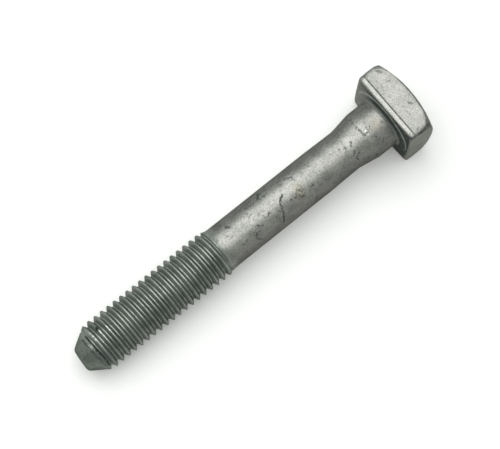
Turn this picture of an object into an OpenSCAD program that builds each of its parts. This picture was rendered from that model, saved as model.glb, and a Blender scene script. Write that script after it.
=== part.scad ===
// One-piece bolt with a square forged head, a fit shoulder under it, a reduced
// shank, a rolled right-hand thread and a lead-in point. The bolt lies on a flat
// of its head. The origin is the centre of the bearing face under the head, +X
// runs along the axis to the tip, and +Z is the upper flat of the head.

/* [Head] */
// Width across the flats of the square head
head_w = 15.6; // [15:0.1:18]
// Height of the head from its bearing face to its top
head_h = 6.5; // [5:0.1:8]
// Radius on the four long corners of the head
corner_r = 0.7; // [0.2:0.1:2]
// Diameter of the flat circle on top of the head
crown_d = 13.7; // [10:0.1:14]
// Slope of the chamfer round the top, from the flat circle
crown_angle = 20.5; // [12:0.5:40]
// Diameter of the washer face that bears under the head
washer_d = 13.5; // [12.5:0.1:14]
// Height of the washer face, which has a 45 degree rim
washer_h = 0.3; // [0.1:0.05:0.6]
// Slope at which the underside falls away outside the washer face
relief_angle = 2; // [1:0.5:8]
// Height of the trim line above the underside, on the upper and lower flats
trim_at = 1.05; // [0.5:0.05:2]
// Width of the groove that the trimming die left there
trim_w = 0.24; // [0.1:0.02:0.4]
// Depth of that groove
trim_depth = 0.12; // [0.04:0.02:0.3]

/* [Shank] */
// Length under the head, from the bearing face to the tip
under_head_l = 72.3; // [60:0.1:120]
// Diameter of the fit shoulder
shoulder_d = 10; // [9.9:0.05:12]
// Length of the fit shoulder, from the bearing face
shoulder_l = 4.4; // [3:0.1:15]
// Radius of the fillet where the shoulder meets the head
fillet_r = 0.4; // [0.2:0.05:0.9]
// Length of the cone from the shoulder down to the shank
taper_l = 4.2; // [2:0.1:8]
// Diameter of the plain shank
shank_d = 8.85; // [8.4:0.05:9.7]

/* [Thread] */
// Diameter over the crests of the thread
thread_d = 9.8; // [9.6:0.05:9.85]
// Diameter at the root of the thread
root_d = 8.16; // [8:0.02:8.3]
// Distance from one crest to the next
thread_pitch = 1.5; // [1.35:0.05:2]
// Width of the flat on each crest
crest_w = 0.27; // [0.15:0.01:0.3]
// Half of the angle between two flanks
flank_angle = 30; // [25:1:30]
// Length from the start of the thread to the tip
thread_l = 34.2; // [20:0.1:50]
// Length over which the groove grows to its full depth
runout_l = 2.4; // [1:0.1:5]
// Number of facets round the thread
thread_facets = 36; // [24:4:48]

/* [Point] */
// Diameter of the flat at the tip
tip_d = 4.2; // [3:0.1:6]
// Slope of the point's side from the axis
point_angle = 35; // [30:1:45]
// Radius on the edge of the tip
tip_edge_r = 0.35; // [0.1:0.05:0.6]

/* [Hidden] */

zinc = [0.72, 0.73, 0.70];
// Facets on round surfaces
round_facets = 96;
// Depth to which joined solids run into each other
overlap = 0.8;
// How far the threaded core lies inside the solids that it joins
core_inset = 0.04;
// Distance from the start of the thread to the edge of its first crest
thread_lead = 0.39;
// Share of its length that the helix keeps where it runs on inside the point
tail_share = 0.1;
// Steps in the rounded edge of the tip
tip_edge_steps = 6;

shoulder_r = shoulder_d / 2;
shank_r = shank_d / 2;
thread_r = thread_d / 2;
root_r = root_d / 2;
tip_r = tip_d / 2;

// Axial places, measured from the bearing face
taper_end = shoulder_l + taper_l;
thread_start = under_head_l - thread_l;
point_start = under_head_l - (root_r - core_inset - tip_r) / tan(point_angle);

// Widths of a flank and of the root flat, and the profile's corners in one pitch
flank_w = (thread_r - root_r) * tan(flank_angle);
root_w = thread_pitch - crest_w - 2 * flank_w;
profile_at = [0, crest_w, crest_w + flank_w, crest_w + flank_w + root_w];
profile_r = [thread_r, thread_r, root_r, root_r];
per_pitch = len(profile_at);

// Helical rows of the thread, one for each corner of the profile, from the
// run-out up to the first that starts inside the point
first_at = thread_start + thread_lead;
last_row = per_pitch * ceil((point_start - first_at) / thread_pitch);

// Radius of the point's cone at an axial place
function cone_r(at) = tip_r + (under_head_l - at) * tan(point_angle);

// Growth of the thread at an axial place, from 0 at its start to 1
function growth(at) = min(1, max(0, (at - first_at) / runout_l));

// What runs on inside the point is squeezed, so that it stays there
function squeezed(at) = at < point_start ? at : point_start + (at - point_start) * tail_share;

// Axial place of a row of the thread at a facet
function row_at(row, facet) = squeezed(
    first_at + profile_at[row % per_pitch]
    + thread_pitch * (floor(row / per_pitch) + facet / thread_facets)
);

// Radius of a row of the thread at an axial place
function row_r(row, at) = let (
        plain = shank_r - core_inset,
        full = profile_r[row % per_pitch]
    ) min(plain + (full - plain) * growth(at), cone_r(at) - core_inset);

// Point on the surface at an axial place, a radius and a facet
function ring_point(at, r, facet) = let (turn = 360 * facet / thread_facets)
    [r * cos(turn), r * sin(turn), at];

function row_point(row, facet) = let (at = row_at(row, facet))
    ring_point(at, row_r(row, at), facet);

// Square with rounded corners, with exact arcs
module rounded_square(side, r) {
    square([side, side - 2 * r], center = true);
    square([side - 2 * r, side], center = true);
    for (x = [-1, 1], y = [-1, 1])
        translate([x * (side / 2 - r), y * (side / 2 - r)])
            circle(r, $fn = round_facets);
}

// Turned outline that cuts the head's crown, its washer face and the relief
// under its corners
module head_turning() {
    reach = head_w;
    crown_r = crown_d / 2;
    washer_r = washer_d / 2;
    rim_r = washer_r + washer_h;
    rotate_extrude($fn = round_facets)
        polygon([
            [0, -head_h],
            [crown_r, -head_h],
            [reach, -head_h + (reach - crown_r) * tan(crown_angle)],
            [reach, -washer_h - (reach - rim_r) * tan(relief_angle)],
            [rim_r, -washer_h],
            [washer_r, 0],
            [0, 0]
        ]);
}

// Groove of the trim line, along one flat of the head
module trim_groove() {
    translate([head_w / 2, 0, -washer_h - trim_at])
        rotate([90, 0, 0])
            linear_extrude(height = 2 * head_w, center = true)
                polygon([[-trim_depth, 0], [trim_depth, -trim_w], [trim_depth, trim_w]]);
}

// Square head, with the trim line on two opposite flats
module head() {
    difference() {
        intersection() {
            translate([0, 0, -head_h - overlap])
                linear_extrude(height = head_h + 2 * overlap)
                    rounded_square(head_w, corner_r);
            head_turning();
        }
        trim_groove();
        mirror([1, 0, 0]) trim_groove();
    }
}

// Shoulder with its fillet, cone and plain shank, as one turned piece
module shank() {
    rotate_extrude($fn = round_facets) {
        polygon([
            [0, -overlap],
            [shoulder_r + fillet_r, -overlap],
            [shoulder_r + fillet_r, 0],
            [shoulder_r, 0],
            [shoulder_r, shoulder_l],
            [shank_r, taper_end],
            [shank_r, thread_start],
            [0, thread_start]
        ]);
        translate([shoulder_r, 0])
            difference() {
                square(fillet_r);
                translate([fillet_r, fillet_r])
                    circle(fillet_r, $fn = round_facets);
            }
    }
}

// Cone of the point, with a rounded edge at the tip
module point() {
    round_r = tip_r - tip_edge_r * (1 - sin(point_angle)) / cos(point_angle);
    edge = [for (i = [0:tip_edge_steps])
        let (turn = point_angle + (90 - point_angle) * i / tip_edge_steps)
        [round_r + tip_edge_r * cos(turn), under_head_l - tip_edge_r + tip_edge_r * sin(turn)]];
    rotate_extrude($fn = round_facets)
        polygon(concat(
            [[0, point_start], [cone_r(point_start), point_start]],
            edge,
            [[0, under_head_l]]
        ));
}

// Threaded length as one closed surface: a ring inside the shank, the helical
// rows of crests and roots, and a ring inside the point. A row that has gone once
// round goes on as the row one pitch further along.
module thread() {
    n = thread_facets;
    low_at = thread_start - overlap;
    low_r = shank_r - 2 * core_inset;
    high_at = row_at(last_row + per_pitch, 0) + 2 * core_inset;
    high_r = cone_r(high_at) - 2 * core_inset;

    low_ring = [for (i = [0:n - 1]) ring_point(low_at, low_r, i)];
    helix = [for (row = [0:last_row], i = [0:n - 1]) row_point(row, i)];
    seam = [for (row = [last_row + 1:last_row + per_pitch]) row_point(row, 0)];
    high_ring = [for (i = [0:n - 1]) ring_point(high_at, high_r, i)];

    seam_first = n * (last_row + 2);
    high_first = seam_first + per_pitch;

    // Index of a point of the helix, where facet n is facet 0 of the next turn
    function spot(row, i) = i == n ? spot(row + per_pitch, 0)
        : row > last_row ? seam_first + row - last_row - 1
        : n * (row + 1) + i;
    function low(i) = i % n;
    function high(i) = high_first + i % n;
    function sheet(a, b, c, d) = [[a, b, c], [a, c, d]];

    winding = [for (row = [0:last_row - 1], i = [0:n - 1],
        face = sheet(spot(row, i), spot(row + 1, i), spot(row + 1, i + 1), spot(row, i + 1))) face];
    low_collar = [for (i = [0:n - 2],
        face = sheet(low(i), spot(0, i), spot(0, i + 1), low(i + 1))) face];
    low_seam = concat(
        [for (row = [0:per_pitch - 1]) [spot(0, n - 1), spot(row + 1, 0), spot(row, 0)]],
        [[spot(0, n - 1), spot(0, 0), low(0)], [spot(0, n - 1), low(0), low(n - 1)]]
    );
    high_collar = [for (i = [1:n - 1],
        face = sheet(spot(last_row, i), high(i), high(i + 1), spot(last_row, i + 1))) face];
    high_seam = concat(
        [for (row = [last_row:last_row + per_pitch - 1])
            [spot(last_row, 1), spot(row, 0), spot(row + 1, 0)]],
        [[spot(last_row, 1), spot(last_row + per_pitch, 0), high(0)],
            [spot(last_row, 1), high(0), high(1)]]
    );

    polyhedron(
        points = concat(low_ring, helix, seam, high_ring),
        faces = concat(
            [[for (i = [0:n - 1]) low(i)]],
            low_collar, low_seam, winding, high_collar, high_seam,
            [[for (i = [n - 1:-1:0]) high(i)]]
        )
    );
}

module bolt() {
    color(zinc)
        rotate([0, 90, 0]) {
            head();
            shank();
            thread();
            point();
        }
}

bolt();
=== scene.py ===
import math
from functools import partial

import bpy
from mathutils import Matrix, Vector


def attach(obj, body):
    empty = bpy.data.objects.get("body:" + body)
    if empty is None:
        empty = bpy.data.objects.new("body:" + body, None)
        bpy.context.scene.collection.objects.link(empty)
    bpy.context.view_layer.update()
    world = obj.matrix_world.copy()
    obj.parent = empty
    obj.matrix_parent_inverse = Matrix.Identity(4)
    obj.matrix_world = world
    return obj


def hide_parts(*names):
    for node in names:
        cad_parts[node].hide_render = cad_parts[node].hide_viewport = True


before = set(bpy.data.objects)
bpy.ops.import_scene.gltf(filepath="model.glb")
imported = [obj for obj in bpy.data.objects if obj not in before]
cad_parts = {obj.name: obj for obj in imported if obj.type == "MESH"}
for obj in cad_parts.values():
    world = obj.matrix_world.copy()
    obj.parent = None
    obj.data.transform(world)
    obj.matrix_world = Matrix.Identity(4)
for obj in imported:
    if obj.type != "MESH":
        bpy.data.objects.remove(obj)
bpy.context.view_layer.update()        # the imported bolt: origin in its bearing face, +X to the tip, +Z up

millimetre = 0.001


def toLinear(hexColour):
    parts = [int(hexColour[i:i + 2], 16) / 255 for i in (1, 3, 5)]
    return [c / 12.92 if c <= 0.04045 else ((c + 0.055) / 1.055) ** 2.4 for c in parts] + [1]


def addNode(tree, kind, *inputs, **settings):
    # one node with its settings; inputs come in order, or as one dictionary by name,
    # and each is a value, or a socket or a node to link from
    node = tree.nodes.new(kind)
    for name, value in settings.items():
        setattr(node, name, value)
    named = inputs[0] if inputs and isinstance(inputs[0], dict) else dict(enumerate(inputs))
    for key, value in named.items():
        if isinstance(value, bpy.types.Node):
            value = next(socket for socket in value.outputs if socket.enabled)
        if isinstance(value, bpy.types.NodeSocket):
            tree.links.new(value, node.inputs[key])
        else:
            node.inputs[key].default_value = value
    return node


# kinds of node that come often; a range's inputs are value, from low, from high, to low, to high
mathNode = "ShaderNodeMath"
vectorNode = "ShaderNodeVectorMath"
rangeNode = "ShaderNodeMapRange"
mixNode = "ShaderNodeMix"
noiseNode = "ShaderNodeTexNoise"


# bolt, as turned and forged; lengths in mm from the bearing face, slopes and turns in degrees
bolt = {
    # head
    "headWidth": 15.6, "headHeight": 6.5, "cornerRadius": 0.7, "draft": 1.5, "draftHeight": 2.4,
    "crownCornerRadius": 2.1, "crownCornersFrom": 3.2, "crownCornersOver": 2,
    "crownDiameter": 13.7, "crownSlope": 20.5, "crownEdge": 0.14,
    "sideEdge": 0.2, "cornerRounding": 1.4, "cornerSpan": 14,
    "washerDiameter": 13.5, "washerHeight": 0.3, "washerEdge": 0.1, "reliefSlope": 2,
    "footEdge": 0.3, "footRounding": 0.7, "footWear": 0.55, "footWearLow": 0.45,
    "trimAt": 1.05, "trimWidth": 0.2, "trimDepth": 0.1, "landStep": 0.03, "trimSpan": 47, "trimFade": 3,
    # grimy corners and ridge, painted shade in the trim line, on the underside and in the fillet, and a
    # painted highlight on the land: how strong, and how far round the head
    "trimShade": 0.8, "cornerGrime": 1.0, "cornerGrimeSpan": 4, "rubbedAndHighlight": 0.12,
    "shadeAt": 30, "ridgeGrime": 0.9, "ridgeSpan": 86, "ridgeFade": 12,
    "underShade": 0.95, "underSpan": 135, "underFade": 50, "underLeast": 0.2, "filletShade": 0.5,
    # shank and point
    "filletRadius": 0.4, "shoulderDiameter": 10, "shoulderLength": 4.4, "shoulderRounding": 0.006,
    "taperLength": 4.3, "shankDiameter": 8.79, "waist": 0.12, "waistEnd": 16.5,
    "underHead": 72.3, "tipDiameter": 4.6, "pointSlope": 33, "pointLean": 0.06, "tipEdge": 0.6,
    # rings of points: radii on the crown and the washer face, places on the shoulder and beside its
    # edge, how many on the plain shank, and shares of the flat end
    "crownRings": (1.4, 2.9, 4.3, 5.5, 6.3), "washerRings": (6.5, 6.1, 5.75, 5.5),
    "shoulderRings": (0.7, 1.2, 1.8, 2.4, 3.0, 3.6, 4.0), "edgeRings": (-0.14, -0.05, 0.05, 0.14),
    "shankRings": 72, "endRings": (0.72, 0.4),
    # how dirty the rings of the ridge are; the trim line's rings, as shares of half its width, of its
    # depth and of its painted shade
    "ridgeRings": (0, 0.3, 1, 0.8, 0.2),
    "trimRings": ((-1, 0, 0.2), (-0.5, 0.6, 1), (0, 1, 1), (0.5, 0.6, 1)),
}
thread = {
    "pitch": 1.5, "crestDiameter": 9.8, "rootDiameter": 8.16,
    "crestWidth": 0.2, "rootWidth": 0.2, "start": 38.3, "runOut": 2.6,
    "blendCorners": 0.06, "firstTurn": 24, "runOutBlend": 0.04, "pointBlend": 0.1, "tipKept": 0.7,
    "lastCrest": 68.2, "markDepth": 0.1,
}
# unevenness from wear: depth and size in mm, and the level of the noise that moves nothing
wear = {"depth": 0.008, "size": 2.2, "level": 0.62, "seed": 4.0}
sharpFrom = 48        # edges that turn by more degrees than this are shaded sharp

# angles round the bolt, close together on the corners of the head
fromCorner = [0.95, 1.9, 2.85, 3.8, 5.2, 7.4, 10.6, 14, 17.4, 20.8, 24.2, 27.7, 31.2, 34.6, 38.1, 41.5]
quarter = [0] + [45 - c for c in reversed(fromCorner)] + [45] + [45 + c for c in fromCorner]
turns = [math.radians(-90 + 90 * k + q) for k in range(4) for q in quarter]
columns = len(turns)


def tangent(degrees):
    return math.tan(math.radians(degrees))


def clamped(share):
    return min(1, max(0, share))


def spaced(start, end, shares):
    return [start + (end - start) * share for share in shares]


def squareRadius(turn, place):
    # the flats draw in a little towards the underside, and the corners are rounder at the crown
    high = clamped((-place - bolt["crownCornersFrom"]) / bolt["crownCornersOver"])
    draftHeight = bolt["draftHeight"]
    half = bolt["headWidth"] / 2 - (draftHeight + max(place, -draftHeight)) * tangent(bolt["draft"])
    corner = bolt["cornerRadius"] + (bolt["crownCornerRadius"] - bolt["cornerRadius"]) * high ** 2
    off = abs((math.degrees(turn) + 45) % 90 - 45)
    flat = half / math.cos(math.radians(off))
    if flat * math.sin(math.radians(off)) <= half - corner:
        return flat
    out, skew = (half - corner) * math.sqrt(2), math.radians(45 - off)
    return out * math.cos(skew) + math.sqrt(corner ** 2 - (out * math.sin(skew)) ** 2)


def bend(start, corner, end, steps):
    # rounded edge between two lines that meet in a corner
    rounded = []
    for i in range(steps + 1):
        t = i / steps
        a, b, c = (1 - t) ** 2, 2 * t * (1 - t), t ** 2
        rounded.append(tuple(a * start[k] + b * corner[k] + c * end[k] for k in (0, 1)))
    return rounded


def headOutline(turn):
    # (place, radius, grimeAndShade) of the head at one angle, from the crown to the shoulder;
    # grimeAndShade is dirt and painted shade, and below 0 it lightens: worn bright on the ridge, a painted
    # highlight on the land
    degrees = math.degrees(turn)
    fromDiagonal = abs(degrees % 90 - 45)
    nearCorner = max(0, 1 - fromDiagonal / bolt["cornerSpan"]) ** 2
    fromShade = abs(degrees - bolt["shadeAt"])
    onCorner = max(0, 1 - fromDiagonal / bolt["cornerGrimeSpan"]) * bolt["cornerGrime"]
    onCorner *= 0.5 + 0.5 * math.cos(turn - math.radians(45))

    top, crown = -bolt["headHeight"], bolt["crownDiameter"] / 2
    foot, washer = -bolt["washerHeight"], bolt["washerDiameter"] / 2
    rim = washer - foot
    slope, relief = tangent(bolt["crownSlope"]), tangent(bolt["reliefSlope"])

    def crownAt(radius):
        return top + (radius - crown) * slope

    def underAt(radius):
        return foot - (radius - rim) * relief

    # the crown's slope runs out into the side, whose corners are rounder up there
    ridge = top
    for _ in range(6):
        ridge = crownAt(squareRadius(turn, ridge))
    side = squareRadius(turn, ridge)
    edge, crownEdge = bolt["sideEdge"] + bolt["cornerRounding"] * nearCorner, bolt["crownEdge"]
    last = ridge + edge
    dirty = clamped((bolt["ridgeSpan"] - fromShade) / bolt["ridgeFade"])
    ridgeDirt = bolt["ridgeGrime"] * dirty - bolt["rubbedAndHighlight"] * (1 - dirty)

    rows = [(top, r, 0) for r in bolt["crownRings"]]
    flatEnd, slopeStart = crown - crownEdge, crown + crownEdge
    rows += [(x, r, 0) for x, r in bend((top, flatEnd), (top, crown), (crownAt(slopeStart), slopeStart), 4)]
    outer = side - edge
    rows += [(crownAt(r), r, 0) for r in spaced(slopeStart, outer, (0.25, 0.5, 0.75))]
    ridgeEdge = bend((crownAt(outer), outer), (ridge, side), (last, squareRadius(turn, last)), 4)
    for (x, r), share in zip(ridgeEdge, bolt["ridgeRings"]):
        rows.append((x, r, max(share * ridgeDirt, onCorner) if onCorner else share * ridgeDirt))

    # the trim line shows on the upper and lower flats alone, and ends in their corners; painted shade
    # darkens its groove
    fromUpper = 90 - abs((degrees + 90) % 180 - 90)
    trimmed = clamped((bolt["trimSpan"] - fromUpper) / bolt["trimFade"])
    dark = trimmed * bolt["trimShade"]
    line, half = foot - bolt["trimAt"], bolt["trimWidth"] / 2
    deep, step = bolt["trimDepth"] * trimmed, bolt["landStep"] * trimmed
    for place in spaced(last, line - half, (0.1, 0.35, 0.65, 0.9)):
        rows.append((place, squareRadius(turn, place), onCorner))
    # painted shade in the trim groove
    for across, depth, share in bolt["trimRings"]:
        place = line + half * across
        rows.append((place, squareRadius(turn, place) - deep * depth, max(dark * share, onCorner)))
    rows.append((line + half, squareRadius(turn, line + half) - step, max(dark * 0.2, onCorner)))

    # land between the trim line and the underside; its lower corners are more worn than the upper ones
    land = squareRadius(turn, foot) - step
    worn = bolt["footRounding"] * nearCorner * (bolt["footWear"] - bolt["footWearLow"] * math.sin(turn))
    footStart = underAt(land) - bolt["footEdge"] - worn / 2
    footIn = land - min(bolt["footEdge"] + worn, (land - rim) * 0.6)
    # the land is lightened by rubbedAndHighlight: a painted highlight
    for place in spaced(line + half, footStart, (0.12, 0.5, 0.88)):
        rubbedAndHighlight = bolt["rubbedAndHighlight"] * trimmed * (1 - onCorner)
        rows.append((place, squareRadius(turn, place) - step, onCorner - rubbedAndHighlight))
    low = (footStart, squareRadius(turn, footStart) - step)
    rows += [(x, r, onCorner) for x, r in bend(low, (underAt(land), land), (underAt(footIn), footIn), 4)]

    # underside, washer face and fillet, darkened by painted shade that is heaviest round shadeAt and
    # lighter on the washer rim, where light catches it
    shaded = clamped((bolt["underSpan"] - fromShade) / bolt["underFade"])
    under = bolt["underShade"] * (bolt["underLeast"] + (1 - bolt["underLeast"]) * shaded)
    rows += [(underAt(r), r, under) for r in spaced(rim, footIn, (0.75, 0.5, 0.25, 0.06))]
    rows += [(foot, rim, under * 0.4), (foot * 0.7, rim + foot * 0.3, under * 0.25)]
    rimEdge = bend((foot * 0.25, washer - foot * 0.25), (0, washer), (0, washer - bolt["washerEdge"]), 3)
    rows += [(x, r, under) for x, r in rimEdge]
    rows += [(0, r, under) for r in bolt["washerRings"]]
    shoulder, fillet = bolt["shoulderDiameter"] / 2, bolt["filletRadius"]
    for bent in (math.radians(15 * k) for k in range(7)):
        place, out = fillet * (1 - math.cos(bent)), fillet * (1 - math.sin(bent))
        rows.append((place, shoulder + out, bolt["filletShade"]))
    return rows


def shankRadius(place):
    shoulder, shank = bolt["shoulderDiameter"] / 2, bolt["shankDiameter"] / 2
    start, end = bolt["shoulderLength"], bolt["shoulderLength"] + bolt["taperLength"]
    narrow = shank - bolt["waist"]
    if place <= start:
        return shoulder
    if place <= end:
        return shoulder + (narrow - shoulder) * (place - start) / (end - start)
    t = min(1, (place - end) / (bolt["waistEnd"] - end))
    return narrow + bolt["waist"] * t * t * (3 - 2 * t)


def tipPlace():
    # middle of the flat end, which was cut a little askew and reaches furthest on its +Y side
    return bolt["underHead"] - bolt["pointLean"] * bolt["tipDiameter"] / 2


def pointRadius(place, turn=math.pi / 2):
    slope = tangent(bolt["pointSlope"])
    straight = bolt["tipDiameter"] / 2 + (tipPlace() - place) * slope
    return straight / (1 - bolt["pointLean"] * slope * math.cos(turn))


def blankRadius(place, turn=math.pi / 2):
    return min(shankRadius(place), pointRadius(place, turn))


def threadStops():
    # places within one pitch, from a crest to the next, with rows on every corner of the profile
    # and close beside it
    half = thread["pitch"] / 2
    crest = thread["crestWidth"] / 2
    root = half - thread["rootWidth"] / 2
    side = [0, crest * 0.55, crest, crest + 0.05, crest + 0.13] + spaced(crest, root, (0.5, 0.72))
    side += [root - 0.05, root, (root + half) / 2, half]
    return side + [thread["pitch"] - s for s in reversed(side[1:-1])]


def makeBlank():
    vertices, grimeAndShade, faces = [], [], []

    def addPoint(place, radius, turn, dirtAndShade=0):
        vertices.append((place, radius * math.cos(turn), radius * math.sin(turn)))
        grimeAndShade.append(dirtAndShade)
        return len(vertices) - 1

    def addRing(points):
        return [addPoint(*point[:2], turn, *point[2:]) for turn, point in zip(turns, points)]

    def join(low, high):
        for i in range(columns):
            k = (i + 1) % columns
            faces.append((low[i], high[i], high[k], low[k]))

    # head
    outlines = [headOutline(turn) for turn in turns]
    pole = addPoint(-bolt["headHeight"], 0, 0)
    rings = [addRing(row) for row in zip(*outlines)]
    faces.extend((pole, rings[0][i], rings[0][(i + 1) % columns]) for i in range(columns))

    # shoulder, cone and plain shank; the corner of the shoulder is a little rounded
    edge = bolt["shoulderLength"]
    threadLow = thread["pitch"] * (thread["firstTurn"] + turns[0] / math.tau)
    places = list(bolt["shoulderRings"]) + [edge + off for off in bolt["edgeRings"]]
    steps = bolt["shankRings"]
    places += spaced(edge + 0.4, threadLow - 0.2, [k / steps for k in range(steps + 1)])
    for place in places:
        rounding = bolt["shoulderRounding"] if abs(place - edge) < 0.1 else 0
        rings.append(addRing([(place, blankRadius(place) - rounding)] * columns))
    for low, high in zip(rings, rings[1:]):
        join(low, high)

    # threaded length: rows that climb one pitch in a turn, so that a row ends on the row one pitch on
    pitch, stops = thread["pitch"], threadStops()
    perPitch = len(stops)
    pointLength = (thread["rootDiameter"] - bolt["tipDiameter"]) / 2 / tangent(bolt["pointSlope"])
    threadHigh = bolt["underHead"] - pointLength + 0.1
    lastRow = math.ceil((threadHigh - threadLow) / pitch * perPitch)

    def rowPlace(row, climb):
        return threadLow + stops[row % perPitch] + pitch * (row // perPitch + climb)

    helix = []
    for row in range(lastRow + 1):
        climbing = [rowPlace(row, (turn - turns[0]) / math.tau) for turn in turns]
        helix.append(addRing([(place, blankRadius(place, turn)) for place, turn in zip(climbing, turns)]))
    seam = []
    for row in range(lastRow + 1, lastRow + perPitch + 1):
        place = rowPlace(row, 0)
        seam.append(addPoint(place, blankRadius(place, turns[0]), turns[0]))

    def spot(row, i):
        if i == columns:
            row, i = row + perPitch, 0
        return helix[row][i] if row <= lastRow else seam[row - lastRow - 1]

    for row in range(lastRow):
        for i in range(columns):
            faces.append((spot(row, i), spot(row + 1, i), spot(row + 1, i + 1), spot(row, i + 1)))
    low = rings[-1]
    for i in range(columns - 1):
        faces.append((low[i], spot(0, i), spot(0, i + 1), low[i + 1]))
    climb = [spot(row, 0) for row in range(perPitch + 1)]
    faces.append([low[columns - 1], spot(0, columns - 1)] + climb[::-1] + [low[0]])

    # point, with a rounded edge, and the flat end
    slope = math.radians(bolt["pointSlope"])
    tip, end, edge = bolt["tipDiameter"] / 2, tipPlace(), bolt["tipEdge"]
    edgeStart = (end - edge * math.cos(slope), tip + edge * math.sin(slope))
    nose = bend(edgeStart, (end, tip), (end, tip - edge), 5) + [(end, tip * k) for k in bolt["endRings"]]
    high = [addRing([(x + bolt["pointLean"] * r * math.cos(turn), r) for turn in turns]) for x, r in nose]
    for inner, outer in zip(high, high[1:]):
        join(inner, outer)
    first = high[0]
    for i in range(1, columns):
        faces.append((spot(lastRow, i), first[i], first[(i + 1) % columns], spot(lastRow, i + 1)))
    climb = [spot(row, 0) for row in range(lastRow, lastRow + perPitch + 1)]
    faces.append([spot(lastRow, 1)] + climb + [first[0], first[1]])
    pole = addPoint(end, 0, 0)
    faces.extend((high[-1][i], pole, high[-1][(i + 1) % columns]) for i in range(columns))

    mesh = bpy.data.meshes.new("squareHeadBolt")
    mesh.from_pydata([[c * millimetre for c in vertex] for vertex in vertices], [], faces)
    dirtAndShade = mesh.attributes.new("grimeAndShade", "FLOAT", "POINT")
    dirtAndShade.data.foreach_set("value", grimeAndShade)
    mesh.shade_smooth()
    mesh.validate()
    return mesh


def rollingInputs():
    # sizes that the tree below is given, in metres
    lengths = {
        "Pitch": thread["pitch"],
        "Crest Radius": thread["crestDiameter"] / 2,
        "Root Radius": thread["rootDiameter"] / 2,
        "Crest Width": thread["crestWidth"],
        "Root Width": thread["rootWidth"],
        "Blank Radius": bolt["shankDiameter"] / 2,
        "Thread Start": thread["start"],
        "Run-out": thread["runOut"],
        "Run-out Blend": thread["runOutBlend"],
        "Point Blend": thread["pointBlend"],
        "Tip Place": tipPlace(),
        "Tip Radius": bolt["tipDiameter"] / 2,
        "Tip Kept": thread["tipKept"],
        "Wear Depth": wear["depth"],
        "Wear Size": wear["size"],
    }
    shares = {
        "Corner Blend": thread["blendCorners"],
        "Point Slope": tangent(bolt["pointSlope"]),
        "Point Lean": bolt["pointLean"],
        "Wear Level": wear["level"],
        "Seed": wear["seed"],
    }
    return {name: length * millimetre for name, length in lengths.items()} | shares


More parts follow.
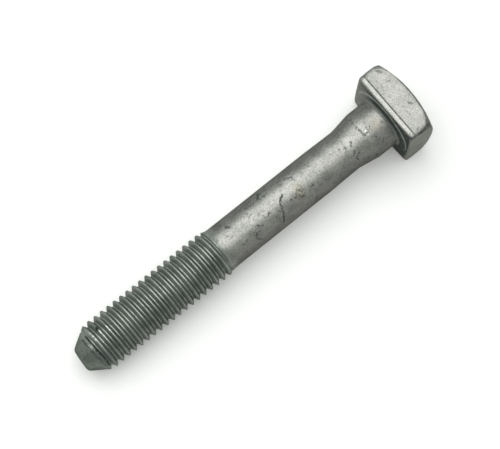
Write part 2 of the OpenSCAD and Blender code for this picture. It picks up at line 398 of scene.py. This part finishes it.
def makeRollingTree():
    # thread rolling: every point of the threaded length goes to the radius that the helix gives it
    tree = bpy.data.node_groups.new("rollThread", "GeometryNodeTree")
    tree.interface.new_socket("Blank", in_out="INPUT", socket_type="NodeSocketGeometry")
    tree.interface.new_socket("Bolt", in_out="OUTPUT", socket_type="NodeSocketGeometry")
    for name in rollingInputs():
        tree.interface.new_socket(name, in_out="INPUT", socket_type="NodeSocketFloat")
    tree.interface.new_socket("Finish", in_out="INPUT", socket_type="NodeSocketMaterial")
    add = partial(addNode, tree)
    given = add("NodeGroupInput").outputs

    # distance from the nearest crest, along the axis; the added pitches keep the fraction positive
    where = add("GeometryNodeInputPosition")
    parts = add("ShaderNodeSeparateXYZ", where).outputs
    turn = add(mathNode, parts["Z"], parts["Y"], operation="ARCTAN2")
    turned = add(mathNode, turn, math.tau, operation="DIVIDE")
    along = add(mathNode, parts["X"], given["Pitch"], operation="DIVIDE")
    winding = add(mathNode, along, turned, operation="SUBTRACT")
    winding = add(mathNode, winding, 100.0, operation="ADD")
    fraction = add(mathNode, winding, operation="FRACT")
    fromRoot = add(mathNode, fraction, 0.5, operation="SUBTRACT")
    fromRoot = add(mathNode, fromRoot, operation="ABSOLUTE")
    fromCrest = add(mathNode, 0.5, fromRoot, operation="SUBTRACT")
    fromCrest = add(mathNode, fromCrest, given["Pitch"], operation="MULTIPLY")

    # radius of the full thread there: crest, straight flank with soft corners, root
    crestEdge = add(mathNode, given["Crest Width"], 0.5, operation="MULTIPLY")
    rootEdge = add(mathNode, given["Pitch"], given["Root Width"], operation="SUBTRACT")
    rootEdge = add(mathNode, rootEdge, 0.5, operation="MULTIPLY")
    straight = add(rangeNode, fromCrest, crestEdge, rootEdge)
    soft = add(rangeNode, fromCrest, crestEdge, rootEdge, interpolation_type="SMOOTHSTEP")
    fall = add(mixNode, {"Factor": given["Corner Blend"], "A": straight, "B": soft}, data_type="FLOAT")
    depth = add(mathNode, given["Crest Radius"], given["Root Radius"], operation="SUBTRACT")
    fallen = add(mathNode, depth, fall, operation="MULTIPLY")
    formed = add(mathNode, given["Crest Radius"], fallen, operation="SUBTRACT")

    # where the dies start, the groove is shallow and narrow, and the metal beside it has hardly risen
    start = given["Thread Start"]
    fullFrom = add(mathNode, start, given["Run-out"], operation="ADD")
    growth = add(rangeNode, parts["X"], start, fullFrom, interpolation_type="SMOOTHSTEP")
    rise = add(mathNode, growth, growth, operation="MULTIPLY")
    risen = {"Factor": rise, "A": given["Blank Radius"], "B": given["Crest Radius"]}
    risen = add(mixNode, risen, data_type="FLOAT")
    missing = add(mathNode, 1.0, growth, operation="SUBTRACT")
    missing = add(mathNode, depth, missing, operation="MULTIPLY")
    shallow = add(mathNode, formed, missing, operation="ADD")
    grown = add(mathNode, risen, shallow, given["Run-out Blend"], operation="SMOOTH_MIN")

    # the cone of the point cuts the thread off, a little askew
    behindTip = add(mathNode, given["Tip Place"], parts["X"], operation="SUBTRACT")
    widening = add(mathNode, behindTip, given["Point Slope"], operation="MULTIPLY")
    coneRadius = add(mathNode, given["Tip Radius"], widening, operation="ADD")
    lean = add(mathNode, given["Point Lean"], given["Point Slope"], operation="MULTIPLY")
    towardsY = add(mathNode, turn, operation="COSINE")
    lean = add(mathNode, lean, towardsY, operation="MULTIPLY")
    askew = add(mathNode, 1.0, lean, operation="SUBTRACT")
    coneRadius = add(mathNode, coneRadius, askew, operation="DIVIDE")
    radius = add(mathNode, grown, coneRadius, given["Point Blend"], operation="SMOOTH_MIN")

    onAxis = add("ShaderNodeCombineXYZ", {"X": parts["X"]})
    outward = add(vectorNode, where, onAxis, operation="SUBTRACT")
    outward = add(vectorNode, outward, operation="NORMALIZE")
    reach = add(vectorNode, {0: outward, "Scale": radius}, operation="SCALE")
    rolledTo = add(vectorNode, onAxis, reach, operation="ADD")
    afterStart = add("FunctionNodeCompare", parts["X"], start, operation="GREATER_THAN")
    onPoint = add("FunctionNodeCompare", behindTip, given["Tip Kept"], operation="GREATER_THAN")
    threaded = add("FunctionNodeBooleanMath", afterStart, onPoint, operation="AND")
    moved = {"Geometry": given["Blank"], "Selection": threaded, "Position": rolledTo}
    rolled = add("GeometryNodeSetPosition", moved)

    # knocks and rubbing have left the forged and rolled surfaces slightly uneven
    perSize = add(mathNode, 1.0, given["Wear Size"], operation="DIVIDE")
    uneven = {"Scale": perSize, "Detail": 2.0, "W": given["Seed"]}
    uneven = add(noiseNode, uneven, noise_dimensions="4D")
    lift = add(mathNode, uneven, given["Wear Level"], operation="SUBTRACT")
    lift = add(mathNode, lift, given["Wear Depth"], operation="MULTIPLY")
    normal = add("GeometryNodeInputNormal")
    offset = add(vectorNode, {0: normal, "Scale": lift}, operation="SCALE")
    worn = add("GeometryNodeSetPosition", {"Geometry": rolled, "Offset": offset})

    whole = add("GeometryNodeRealizeInstances", worn)
    coated = add("GeometryNodeSetMaterial", {"Geometry": whole, "Material": given["Finish"]})
    add("NodeGroupOutput", coated)
    return tree


def makeBolt(finish):
    piece = bpy.data.objects.new("squareHeadBolt", makeBlank())
    bpy.context.scene.collection.objects.link(piece)
    tree = makeRollingTree()
    rolling = piece.modifiers.new("rollThread", "NODES")
    rolling.node_group = tree
    values = rollingInputs() | {"Finish": finish}
    for item in tree.interface.items_tree:
        if item.in_out == "INPUT" and item.name in values:
            rolling[item.identifier] = values[item.name]
    evaluated = piece.evaluated_get(bpy.context.evaluated_depsgraph_get())
    made = bpy.data.meshes.new_from_object(evaluated)
    piece.modifiers.remove(rolling)
    piece.data = made
    made.set_sharp_from_angle(angle=math.radians(sharpFrom))
    return piece


# coating: colours, then sizes in mm and shares
coating = {
    # pitAndShade darkens pits, stains and grimy edges and also paints shade; bare is knocked bare metal and
    # the painted highlight on the land
    "light": "#b7b6b1", "dark": "#7d7f7a", "pitAndShade": "#1e2a28", "bare": "#ecece8", "warm": "#8d8168",
    "grazing": "#8a8a88", "metallic": 0.85, "roughness": 0.42, "roughnessSpread": 0.08,
    # duller lengths: tint, where it starts, and over how many mm it comes in
    "threadTint": "#eff7f5", "threadFrom": 38.6, "pointTint": "#ccd0cc", "pointFrom": 69.0, "tintOver": 1.2,
    # patterns: sizes, the stretch of the noise that counts, and how much it counts
    "cloudSize": 2.6, "mottleRange": (0.35, 0.65), "mottle": 0.3,
    "flakeSize": 0.3, "speckleRange": (0.38, 0.62), "speckle": 0.45,
    "fleckSize": 0.7, "fleckRange": (0.58, 0.68), "fleck": 0.5, "brokenRange": (0.38, 0.56),
    "pitSpacing": 0.55, "pitSize": 0.12, "fieldPitSize": 0.2, "pitCore": 0.45, "pitRagged": 0.12,
    "patchSize": 6.0, "patchRange": (0.5, 0.6), "wavesPerMm": 2.2, "waver": 0.9, "dotStep": 0.01,
    # painted shade: the turned length's colour darkens towards its sides, less on the thread
    "sideShade": 0.5, "sideShadeRange": (0.12, 0.36), "threadSideShadeLess": 0.8, "leastAcross": 0.02,
    "headEnd": (0.0, 1.0), "threadEnd": (38.0, 39.8),
    # least share of grimeAndShade that shows: on the edges of the head, and on its underside, where it is
    # painted shade
    "underside": (-0.7, -0.35), "grimeAndShadeLeast": (0.45, 0.85),
    # stains, pits, grimy edges and the painted shade are rougher and less metallic than the coating
    "dirtRoughness": 0.3, "dirtMetallic": 0.6,
    "bumpDepth": 0.03, "bumpStrength": 0.6, "grainHeight": 0.6, "cloudHeight": 0.8, "pitHeight": -1.5,
}

# stains and scratches: half width in mm, strength, and the path as (place, degrees from the top)
shankMarks = [
    (0.48, 0.85, [(36.25, -27), (35.8, -21)]),
    (0.34, 0.6, [(36.8, -40), (36.8, -38)]),
    (0.34, 0.5, [(31.8, -21), (31.8, -20)]),
    (0.28, 0.55, [(28.4, -32.6), (31.1, -31)]),
    (0.36, 0.65, [(31.05, -32), (31.15, -30.5)]),
    (0.34, 0.75, [(26.3, -29), (27.9, -29)]),
    (0.48, 0.85, [(27.5, -50), (28.2, -33)]),
    (0.3, 0.75, [(22.15, -31), (21.5, -25), (20.75, -21.5)]),
    (0.26, 0.7, [(20.9, -17), (20.85, -8)]),
    (0.2, 0.5, [(20.7, 1), (20.65, 17)]),
    (0.34, 1.0, [(24.4, -0.5), (25.1, 4.5)]),
    (0.3, 0.9, [(25.2, 5), (25.7, 14), (25.85, 24)]),
    (0.32, 1.0, [(25.85, 24), (26.1, 33), (26.3, 39)]),
    (0.38, 1.0, [(26.25, 38.5), (26.6, 47), (27.0, 57.5)]),
    (0.32, 1.0, [(23.57, 21.3), (23.58, 22.3)]),
    (0.32, 0.95, [(18.65, 25.6), (18.67, 26.6)]),
    (0.3, 0.85, [(26.6, 25.6), (26.6, 26.4)]),
    (0.32, 0.8, [(27.68, 31.2), (27.72, 32.2)]),
    (0.4, 0.8, [(21.3, 34.5), (21.6, 33)]),
    (0.3, 0.85, [(21.05, 19), (21.35, 15)]),
    (0.24, 0.8, [(21.55, 9), (21.75, 13)]),
    (0.26, 0.8, [(22.0, 17), (22.15, 18)]),
    (0.24, 0.75, [(22.4, 22), (22.65, 25)]),
    (0.26, 0.8, [(20.75, 21), (20.95, 23.5)]),
    (0.24, 0.75, [(21.9, 27), (22.0, 29)]),
    (0.22, 0.7, [(22.9, 17), (23.0, 18)]),
    (0.26, 0.65, [(28.9, 1.5), (29.0, 2.5)]),
    (0.26, 0.65, [(29.9, 1), (30.1, 3)]),
    (0.26, 0.7, [(28.4, 12), (28.9, 17.5)]),
    (0.24, 0.65, [(29.4, 15.5), (29.6, 16.5)]),
    (0.22, 0.6, [(22.5, 25), (22.8, 24.5)]),
    (0.2, 0.6, [(31.2, -14), (31.9, -5)]),
    (0.16, 0.3, [(32.3, -1), (35.3, 0)]),
    (0.2, 0.35, [(36.4, 3), (37.5, 4.3)]),
    (0.24, 0.85, [(30.6, 28.5), (31.3, 23.5), (31.95, 19.5)]),
    (0.22, 0.7, [(31.6, 37.5), (32.0, 34.5)]),
    (0.2, 0.7, [(32.7, 31), (32.9, 28)]),
    (0.27, 0.95, [(32.45, 35), (32.8, 42), (32.9, 48), (32.4, 57)]),
    (0.38, 0.75, [(34.7, 32.5), (34.9, 33.5)]),
    (0.36, 0.6, [(35.5, 37), (35.7, 37)]),
    (0.24, 0.85, [(7.88, 0.5), (8.1, 6), (8.3, 11)]),
    (0.34, 0.95, [(8.3, 10.6), (8.32, 11.6)]),
    (0.34, 0.9, [(9.4, 5.5), (9.45, 10.5)]),
    (0.28, 0.7, [(10.6, 0.2), (10.58, 1.5)]),
    (0.26, 0.9, [(8.4, 26), (8.75, 31), (9.0, 35), (9.55, 33.4)]),
    (0.24, 0.8, [(7.76, 35), (8.36, 39)]),
    (0.36, 0.95, [(8.7, 44), (8.6, 51)]),
    (0.26, 0.8, [(5.14, -44), (5.12, -38)]),
    (0.26, 0.75, [(5.25, -33), (5.24, -29)]),
    (0.26, 0.6, [(4.67, -24.5), (4.68, -23.5)]),
    (0.26, 0.85, [(5.38, -18), (5.36, -13)]),
    (0.26, 0.85, [(5.32, -9), (5.42, -1)]),
    (0.26, 0.8, [(5.2, 0.5), (5.35, 6.7)]),
    (0.18, 0.45, [(5.3, 17), (5.3, 33)]),
    (0.26, 0.9, [(3.42, 0.5), (3.65, 8.3)]),
    (0.22, 0.75, [(4.07, 0.2), (4.08, 1)]),
    (0.26, 0.9, [(4.3, 9), (5.26, 9.8)]),
    (0.22, 0.75, [(3.5, 23), (4.2, 23)]),
    (0.34, 0.95, [(3.7, 27), (3.72, 28)]),
    (0.22, 0.7, [(2.76, 42), (3.0, 53)]),
    (0.36, 0.95, [(5.05, 70), (5.05, 74.5)]),
]
# knocks that have laid the metal bare, and patches that have yellowed a little
bareMarks = [
    (0.26, 0.8, [(3.9, 2)]),
    (0.3, 0.85, [(4.6, 4.4)]),
    (0.26, 0.7, [(4.67, 13.7)]),
    (0.2, 0.6, [(21.35, 29)]),
    (0.2, 0.6, [(21.5, 21)]),
    (0.2, 0.5, [(21.1, 26)]),
    (0.36, 0.8, [(66.44, -16)]),
    (0.34, 0.7, [(66.42, -12)]),
    (0.34, 0.7, [(67.94, -16)]),
    (0.34, 0.7, [(67.9, -6)]),
    (0.34, 0.7, [(64.93, -14)]),
    (0.34, 0.6, [(66.38, -2)]),
    (0.34, 0.6, [(64.9, -4)]),
    (0.34, 0.6, [(67.97, -26)]),
    (0.3, 0.6, [(69.4, -8), (69.55, 0)]),
    (0.28, 0.5, [(69.2, -3), (69.25, 3)]),
]
warmMarks = [(1.9, 0.3, [(2.2, 5), (2.3, 11)]), (1.7, 0.35, [(21.2, 10), (21.8, 24)])]
# fields of pits on the shank: half width in mm, strength, path
pitFields = [
    (1.8, 1.0, [(21.3, 12), (22.4, 27)]),
    (1.2, 0.7, [(3.8, 2), (4.9, 8)]),
    (1.3, 0.7, [(8.2, 36), (9.0, 38)]),
    (1.3, 0.6, [(8.4, 5), (10.2, 4)]),
    (1.4, 0.8, [(28.4, 3), (29.6, 16)]),
    (1.4, 0.7, [(31.2, 26), (32.6, 34)]),
]
# stains on the thread, and the rough dark lap where the dies ran out on the cone of the point
threadMarks = [
    (0.75, 1.4, [(66.5, -25.3)]),
    (0.42, 0.9, [(67.42, 4.3)]),
    (0.36, 0.9, [(69.63, 31.3)]),
    (0.42, 0.75, [(69.75, -38), (69.82, -13), (69.72, 10)]),
    (0.6, 0.85, [(69.72, 10), (69.5, 35), (69.1, 69)]),
    (0.42, 1.2, [(68.98, -36), (68.97, -10), (68.9, 14)]),
    (0.6, 1.1, [(68.9, 14), (68.72, 37), (68.5, 60)]),
    (1.5, 0.6, [(69.0, 24), (68.6, 62)]),
]
# on the upper flat of the head: the path as (place, mm towards +Y)
headMarks = [
    (0.45, 0.5, [(-3.79, -6.70), (-4.32, -5.99)]),
    (0.32, 0.5, [(-4.52, 1.76), (-5.01, 2.46)]),
    (0.3, 0.6, [(-2.41, 6.91), (-2.55, 6.61)]),
    (0.16, 0.35, [(-2.93, -4.83), (-2.10, -2.18)]),
]


def onShank(place, fromTop):
    # point on the turned surface, that many degrees from the top towards +Y
    radius = thread["crestDiameter"] / 2 - thread["markDepth"]
    if place < thread["start"]:
        radius = blankRadius(place)
    radius = min(radius, pointRadius(place))
    angle = math.radians(fromTop)
    return (place, radius * math.sin(angle), radius * math.cos(angle))


def onUpperFlat(place, across):
    return (place, across, bolt["headWidth"] / 2)


def placed(marks, surface=onShank):
    return [(width, strength, [surface(*spot) for spot in path]) for width, strength, path in marks]


def makeMarkTree():
    # how much of a stain covers a point, from its distance to the line between two ends
    tree = bpy.data.node_groups.new("stain", "ShaderNodeTree")
    for name in ("Point", "From", "To"):
        tree.interface.new_socket(name, in_out="INPUT", socket_type="NodeSocketVector")
    for name in ("Width", "Strength"):
        tree.interface.new_socket(name, in_out="INPUT", socket_type="NodeSocketFloat")
    tree.interface.new_socket("Cover", in_out="OUTPUT", socket_type="NodeSocketFloat")
    add = partial(addNode, tree)
    given = add("NodeGroupInput").outputs

    reach = add(vectorNode, given["Point"], given["From"], operation="SUBTRACT")
    length = add(vectorNode, given["To"], given["From"], operation="SUBTRACT")
    projected = add(vectorNode, reach, length, operation="DOT_PRODUCT")
    squared = add(vectorNode, length, length, operation="DOT_PRODUCT")
    along = add(mathNode, projected, squared, operation="DIVIDE")
    along = add(mathNode, along, 0.0, operation="MAXIMUM")
    along = add(mathNode, along, 1.0, operation="MINIMUM")
    nearest = add(vectorNode, {0: length, "Scale": along}, operation="SCALE")
    away = add(vectorNode, reach, nearest, operation="SUBTRACT")
    away = add(vectorNode, away, operation="LENGTH")
    shape = {"interpolation_type": "SMOOTHSTEP", "clamp": False}
    cover = add(rangeNode, away, given["Width"], 0.0, 0.0, given["Strength"], **shape)
    add("NodeGroupOutput", cover)
    return tree


def makeZincFlake():
    # zinc-flake coating, dipped and baked over forged steel, which is silky light grey,
    # faintly mottled, and dark where it has pits
    material = bpy.data.materials.new("zincFlakeCoating")
    material.use_nodes = True
    tree = material.node_tree
    tree.nodes.clear()
    add = partial(addNode, tree)

    where = add("ShaderNodeTexCoord").outputs["Object"]
    point = add(vectorNode, {0: where, "Scale": 1 / millimetre}, operation="SCALE")

    # clouds of the coating, some millimetres wide, and the flakes' grain, which is finer on the real
    # bolt and is drawn as coarse as it needs to show
    clouds = {"Vector": point, "Scale": 1 / coating["cloudSize"], "Detail": 4.0, "Roughness": 0.6}
    clouds = add(noiseNode, clouds)
    grain = {"Vector": point, "Scale": 1 / coating["flakeSize"], "Detail": 3.0, "Roughness": 0.65}
    grain = add(noiseNode, grain)
    mottle = add(rangeNode, clouds, *coating["mottleRange"], interpolation_type="SMOOTHSTEP")
    mottle = add(mathNode, mottle, coating["mottle"], operation="MULTIPLY")
    speckle = add(rangeNode, grain, *coating["speckleRange"])
    speckle = add(mathNode, speckle, coating["speckle"], operation="MULTIPLY")
    tone = add(mathNode, mottle, speckle, operation="ADD")
    base = {"Factor": tone, "A": toLinear(coating["dark"]), "B": toLinear(coating["light"])}
    base = add(mixNode, base, data_type="RGBA")

    # the rolled thread and the sheared point are duller than the shank
    place = add("ShaderNodeSeparateXYZ", point).outputs["X"]
    for part in ("thread", "point"):
        start, tint = coating[part + "From"], toLinear(coating[part + "Tint"])
        reached = add(rangeNode, place, start, start + coating["tintOver"])
        base = {"Factor": reached, "A": base, "B": tint}
        base = add(mixNode, base, data_type="RGBA", blend_type="MULTIPLY")

    # the flakes lie flat on the turned length, and its colour is darkened towards its sides, seen from any
    # end: painted shade, standing in for the flakes' flop and the shade on those sides
    turnedSpace = {"vector_type": "VECTOR", "convert_from": "OBJECT", "convert_to": "WORLD"}
    axis = add("ShaderNodeVectorTransform", (1, 0, 0), **turnedSpace)
    facing = add("ShaderNodeLayerWeight", {"Blend": 0.5}).outputs["Facing"]
    alongAxis = add("ShaderNodeLayerWeight", {"Blend": 0.5, "Normal": axis}).outputs["Facing"]
    alongAxis = add(mathNode, 1.0, alongAxis, operation="SUBTRACT")
    alongAxis = add(mathNode, alongAxis, 2.0, operation="POWER")
    acrossAxis = add(mathNode, 1.0, alongAxis, operation="SUBTRACT")
    acrossAxis = add(mathNode, acrossAxis, coating["leastAcross"], operation="MAXIMUM")
    acrossAxis = add(mathNode, acrossAxis, operation="SQRT")
    towards = add(mathNode, 1.0, facing, operation="SUBTRACT")
    towards = add(mathNode, towards, acrossAxis, operation="DIVIDE")
    aslant = add(mathNode, 1.0, towards, operation="SUBTRACT")
    pastHead = add(rangeNode, place, *coating["headEnd"])
    onThread = add(rangeNode, place, *coating["threadEnd"], 0.0, coating["threadSideShadeLess"])
    turned = add(mathNode, pastHead, onThread, operation="SUBTRACT")
    sideShade = add(rangeNode, aslant, *coating["sideShadeRange"], 0.0, coating["sideShade"])
    sideShade = add(mathNode, sideShade, turned, operation="MULTIPLY")
    # the base colour goes towards black by this painted shade
    base = add(mixNode, {"Factor": sideShade, "A": base, "B": (0, 0, 0, 1)}, data_type="RGBA")

    # ragged flecks, where the coating is thin
    thin = {"Vector": point, "Scale": 1 / coating["fleckSize"], "Detail": 4.0, "Roughness": 0.7}
    thin = add(noiseNode, thin)
    flecks = add(rangeNode, thin, *coating["fleckRange"], 0.0, coating["fleck"])

    # pits, in fields a few millimetres wide
    cells = {"Vector": point, "Scale": 1 / coating["pitSpacing"]}
    cells = add("ShaderNodeTexVoronoi", cells).outputs["Distance"]
    ragged = add(mathNode, grain, 0.5, operation="SUBTRACT")
    ragged = add(mathNode, ragged, coating["pitRagged"], operation="MULTIPLY")
    ragged = add(mathNode, cells, ragged, operation="ADD")
    pits = add(rangeNode, ragged, coating["pitSize"], coating["pitSize"] * coating["pitCore"])
    patches = add(noiseNode, {"Vector": point, "Scale": 1 / coating["patchSize"], "Detail": 2.0})
    field = add(rangeNode, patches, *coating["patchRange"])
    pits = add(mathNode, pits, field, operation="MULTIPLY")

    # placed stains, scratches and fields of pits, with wavering edges
    waver = {"Vector": point, "Scale": coating["wavesPerMm"], "Detail": 3.0}
    waver = add(noiseNode, waver).outputs["Color"]
    waver = add(vectorNode, waver, (0.5, 0.5, 0.5), operation="SUBTRACT")
    waver = add(vectorNode, {0: waver, "Scale": coating["waver"]}, operation="SCALE")
    shaken = add(vectorNode, point, waver, operation="ADD")
    stain = makeMarkTree()

    def covered(marks):
        # a path with one spot is a dot
        cover = 0.0
        for width, strength, path in marks:
            beside = [c + coating["dotStep"] for c in path[0]]
            ends = path if len(path) > 1 else [path[0], beside]
            for start, end in zip(ends, ends[1:]):
                mark = {"Point": shaken, "From": start, "To": end, "Width": width, "Strength": strength}
                mark = add("ShaderNodeGroup", mark, node_tree=stain)
                cover = add(mathNode, cover, mark, operation="MAXIMUM")
        return cover

    stains = covered(placed(shankMarks + threadMarks) + placed(headMarks, onUpperFlat))
    deepPits = add(rangeNode, ragged, coating["fieldPitSize"], coating["fieldPitSize"] * coating["pitCore"])
    deepPits = add(mathNode, deepPits, covered(placed(pitFields)), operation="MULTIPLY")
    warmed = {"Factor": covered(placed(warmMarks)), "A": base, "B": toLinear(coating["warm"])}
    base = add(mixNode, warmed, data_type="RGBA")

    # grimeAndShade, grimy edges and painted shade on the head, is broken up on the edges and even on the
    # underside
    grimeAndShade = add("ShaderNodeAttribute", attribute_name="grimeAndShade").outputs["Fac"]
    least = add(rangeNode, place, *coating["underside"], *coating["grimeAndShadeLeast"])
    broken = add(rangeNode, thin, *coating["brokenRange"], least)
    edges = add(mathNode, grimeAndShade, broken, operation="MULTIPLY")
    # dirtAndShade gathers pits, flecks, stains and grimeAndShade, so it carries painted shade too
    dirtAndShade = add(mathNode, pits, flecks, operation="MAXIMUM")
    for cover in (deepPits, stains, edges):
        dirtAndShade = add(mathNode, dirtAndShade, cover, operation="MAXIMUM", use_clamp=True)
    colour = add(mixNode, {"Factor": dirtAndShade, "A": base, "B": toLinear(coating["pitAndShade"])}, data_type="RGBA")
    # rubbedAndHighlight: knocks laid bare, and the painted highlight on the head's land
    rubbedAndHighlight = add(mathNode, grimeAndShade, -1.0, operation="MULTIPLY")
    rubbedAndHighlight = add(mathNode, covered(placed(bareMarks)), rubbedAndHighlight, operation="MAXIMUM")
    colour = add(mixNode, {"Factor": rubbedAndHighlight, "A": colour, "B": toLinear(coating["bare"])}, data_type="RGBA")

    spread = add(mathNode, clouds, 0.5, operation="SUBTRACT")
    spread = add(mathNode, spread, coating["roughnessSpread"] * 2, operation="MULTIPLY")
    roughness = add(mathNode, spread, coating["roughness"], operation="ADD")
    rougher = add(mathNode, dirtAndShade, coating["dirtRoughness"], operation="MULTIPLY")
    roughness = add(mathNode, roughness, rougher, operation="ADD", use_clamp=True)
    duller = add(mathNode, dirtAndShade, coating["dirtMetallic"], operation="MULTIPLY")
    metallic = add(mathNode, coating["metallic"], duller, operation="SUBTRACT")

    height = add(mathNode, grain, coating["grainHeight"], operation="MULTIPLY")
    for pattern, name in ((clouds, "cloudHeight"), (pits, "pitHeight")):
        lift = add(mathNode, pattern, coating[name], operation="MULTIPLY")
        height = add(mathNode, height, lift, operation="ADD")
    bumpDepth = coating["bumpDepth"] * millimetre
    bump = {"Strength": coating["bumpStrength"], "Distance": bumpDepth, "Height": height}
    bump = add("ShaderNodeBump", bump)
    shader = add("ShaderNodeBsdfPrincipled", {
        "Base Color": colour, "Metallic": metallic, "Roughness": roughness,
        "Normal": bump, "Specular Tint": toLinear(coating["grazing"]),
    })
    add("ShaderNodeOutputMaterial", shader)
    return material


# floor, lamp and room, in metres
studio = {
    "floorColour": "#f6f6f4", "floorSize": 3.0, "whiteShare": 0.1,
    "lampFrom": (0.03, -0.25, 1.08), "lampSize": 1.6, "lampPower": 13.2, "lampColour": "#ffffff",
    "skyCool": "#f0f9f8", "skyWarm": "#8a8c88", "skyHigh": "#bfc2c0",
    "sideRange": (-0.7, 0.7), "highRange": (0.1, 0.8),
}
# the photo's camera, in mm
camera = {
    "place": (95.040, 66.469, 385.404), "aim": (31.816, -0.216, 0.021), "up": (-0.6151, -0.7537, 0.2313),
    "lens": 152.94, "sensor": 36.0,
}


def makeFloor():
    # the bolt lies on the lower edge of its head and on its last crests,
    # so the floor rises by a little over 2 degrees towards the tip
    headLow, threadLow = -bolt["headWidth"] / 2, -thread["crestDiameter"] / 2
    headAt, threadAt = -bolt["washerHeight"], thread["lastCrest"]
    slope = (threadLow - headLow) / (threadAt - headAt)
    half = studio["floorSize"] / 2
    corners = [(x, y, headLow * millimetre + (x - headAt * millimetre) * slope)
               for x, y in ((-half, -half), (half, -half), (half, half), (-half, half))]
    mesh = bpy.data.meshes.new("floor")
    mesh.from_pydata(corners, [], [(0, 1, 2, 3)])
    floor = bpy.data.objects.new("floor", mesh)
    bpy.context.scene.collection.objects.link(floor)

    # white card: the camera, gloss and glass see part of it as pure white, and the rest keeps the shadow
    material = bpy.data.materials.new("whiteCard")
    material.use_nodes = True
    tree = material.node_tree
    tree.nodes.clear()
    add = partial(addNode, tree)
    rays = add("ShaderNodeLightPath").outputs
    seen = add(mathNode, rays["Is Camera Ray"], rays["Is Glossy Ray"], operation="MAXIMUM")
    seen = add(mathNode, seen, rays["Is Transmission Ray"], operation="MAXIMUM")
    share = add(mathNode, seen, studio["whiteShare"], operation="MULTIPLY")
    card = add("ShaderNodeBsdfDiffuse", {"Color": toLinear(studio["floorColour"])})
    white = add("ShaderNodeEmission", {"Color": (1, 1, 1, 1), "Strength": 1.0})
    both = add("ShaderNodeMixShader", share, card, white)
    add("ShaderNodeOutputMaterial", both)
    mesh.materials.append(material)


def makeLight():
    lamp = bpy.data.lights.new("softBox", "AREA")
    lamp.shape = "DISK"
    lamp.size = studio["lampSize"]
    lamp.energy = studio["lampPower"]
    lamp.color = toLinear(studio["lampColour"])[:3]
    box = bpy.data.objects.new("softBox", lamp)
    box.location = studio["lampFrom"]
    box.rotation_euler = Vector(studio["lampFrom"]).to_track_quat("Z", "Y").to_euler()
    box.visible_camera = False
    bpy.context.scene.collection.objects.link(box)

    # the room is mid grey: lighter overhead, cooler towards -Y and darker towards +Y
    world = bpy.data.worlds.new("room")
    bpy.context.scene.world = world
    world.use_nodes = True
    tree = world.node_tree
    tree.nodes.clear()
    add = partial(addNode, tree)
    direction = add("ShaderNodeTexCoord").outputs["Generated"]
    parts = add("ShaderNodeSeparateXYZ", direction).outputs
    sideways = add(rangeNode, parts["Y"], *studio["sideRange"])
    upwards = add(rangeNode, parts["Z"], *studio["highRange"])
    sides = {"Factor": sideways, "A": toLinear(studio["skyCool"]), "B": toLinear(studio["skyWarm"])}
    sides = add(mixNode, sides, data_type="RGBA")
    tint = {"Factor": upwards, "A": sides, "B": toLinear(studio["skyHigh"])}
    tint = add(mixNode, tint, data_type="RGBA")
    add("ShaderNodeOutputWorld", add("ShaderNodeBackground", tint, 1.0))


def makeCamera():
    place, aim = Vector(camera["place"]), Vector(camera["aim"])
    back = (place - aim).normalized()
    right = Vector(camera["up"]).cross(back).normalized()
    up = back.cross(right)
    lens = bpy.data.cameras.new("photoCamera")
    lens.lens = camera["lens"]
    lens.sensor_width = camera["sensor"]
    lens.sensor_fit = "HORIZONTAL"
    lens.clip_start, lens.clip_end = 0.01, 20
    eye = bpy.data.objects.new("photoCamera", lens)
    axes = Matrix((right, up, back)).transposed().to_4x4()
    eye.matrix_world = Matrix.Translation(place * millimetre) @ axes
    bpy.context.scene.collection.objects.link(eye)
    bpy.context.scene.camera = eye


makeCamera()
makeLight()
makeFloor()
print("studio made")
finish = makeZincFlake()
print("coating made")
piece = makeBolt(finish)
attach(piece, "root")
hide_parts("bolt")
print("bolt made:", len(piece.data.polygons), "faces")

bpy.context.scene.view_settings.view_transform = "Standard"
